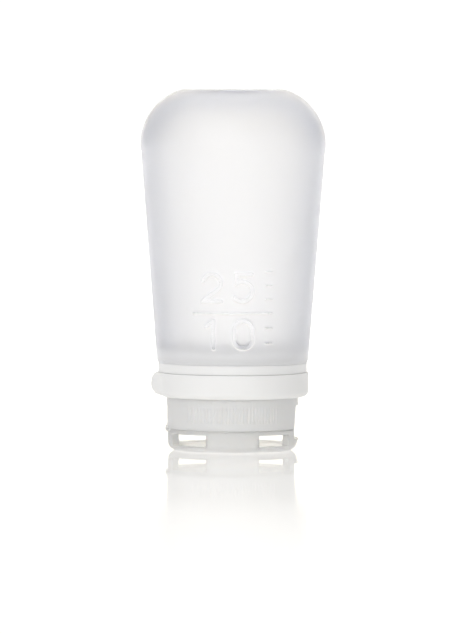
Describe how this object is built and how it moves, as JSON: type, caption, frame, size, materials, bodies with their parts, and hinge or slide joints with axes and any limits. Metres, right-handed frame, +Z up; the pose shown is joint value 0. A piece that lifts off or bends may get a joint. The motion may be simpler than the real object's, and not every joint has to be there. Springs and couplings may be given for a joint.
{
  "type": "squeeze bottle",
  "caption": "Frosted silicone travel squeeze bottle standing on its ribbed screw cap, with a flip lid on a living hinge, a slit valve and a white tabbed band.",
  "frame": {"origin": "middle of the lid's flat outer face, which is what the bottle stands on", "axes": "+Z up along the bottle's axis, -Y towards the front with the raised scale, -X towards the lid's hinge and the band's tab"},
  "size_m": [0.0524, 0.0524, 0.1021],
  "materials": {
    "silicone_frosted": "frosted, see-through silicone with a fine satin skin",
    "plastic_frosted": "frosted polypropylene, slightly see-through",
    "plastic_white": "satin white polypropylene",
    "silicone_white": "satin white silicone"
  },
  "bodies": {
    "bottle": {"bottle_body": "silicone_frosted", "threaded_neck": "plastic_frosted", "collar_ring": "plastic_white"},
    "band": {"lock_band": "silicone_white"},
    "seal": {"cap_gasket": "silicone_white"},
    "cap": {"screw_cap": "plastic_frosted", "valve": "silicone_frosted", "valve_retainer": "plastic_frosted", "living_hinge": "plastic_frosted"},
    "lid": {"flip_lid": "plastic_frosted", "lid_plug": "silicone_white"}
  },
  "joints": [
    {"name": "band_turn", "type": "hinge", "parent": "bottle", "child": "band", "pos_m": [0, 0, 0.0183], "axis": [0, 0, 1], "continuous": true},
    {"name": "cap_lift", "type": "slide", "parent": "bottle", "child": "seal", "axis": [0, 0, -1], "range_m": [0, 0.00534]},
    {"name": "cap_turn", "type": "hinge", "parent": "seal", "child": "cap", "pos_m": [0, 0, 0.0107], "axis": [0, 0, -1], "range_deg": [0, 600]},
    {"name": "lid_flip", "type": "hinge", "parent": "cap", "child": "lid", "pos_m": [-0.0189, 0, 0.00629], "axis": [0, 1, 0], "range_deg": [0, 150], "deforming": ["living_hinge"]}
  ],
  "couplings": [
    {"joint": "cap_lift", "follows": "cap_turn", "m_per_rad": 0.0005093}
  ]
}
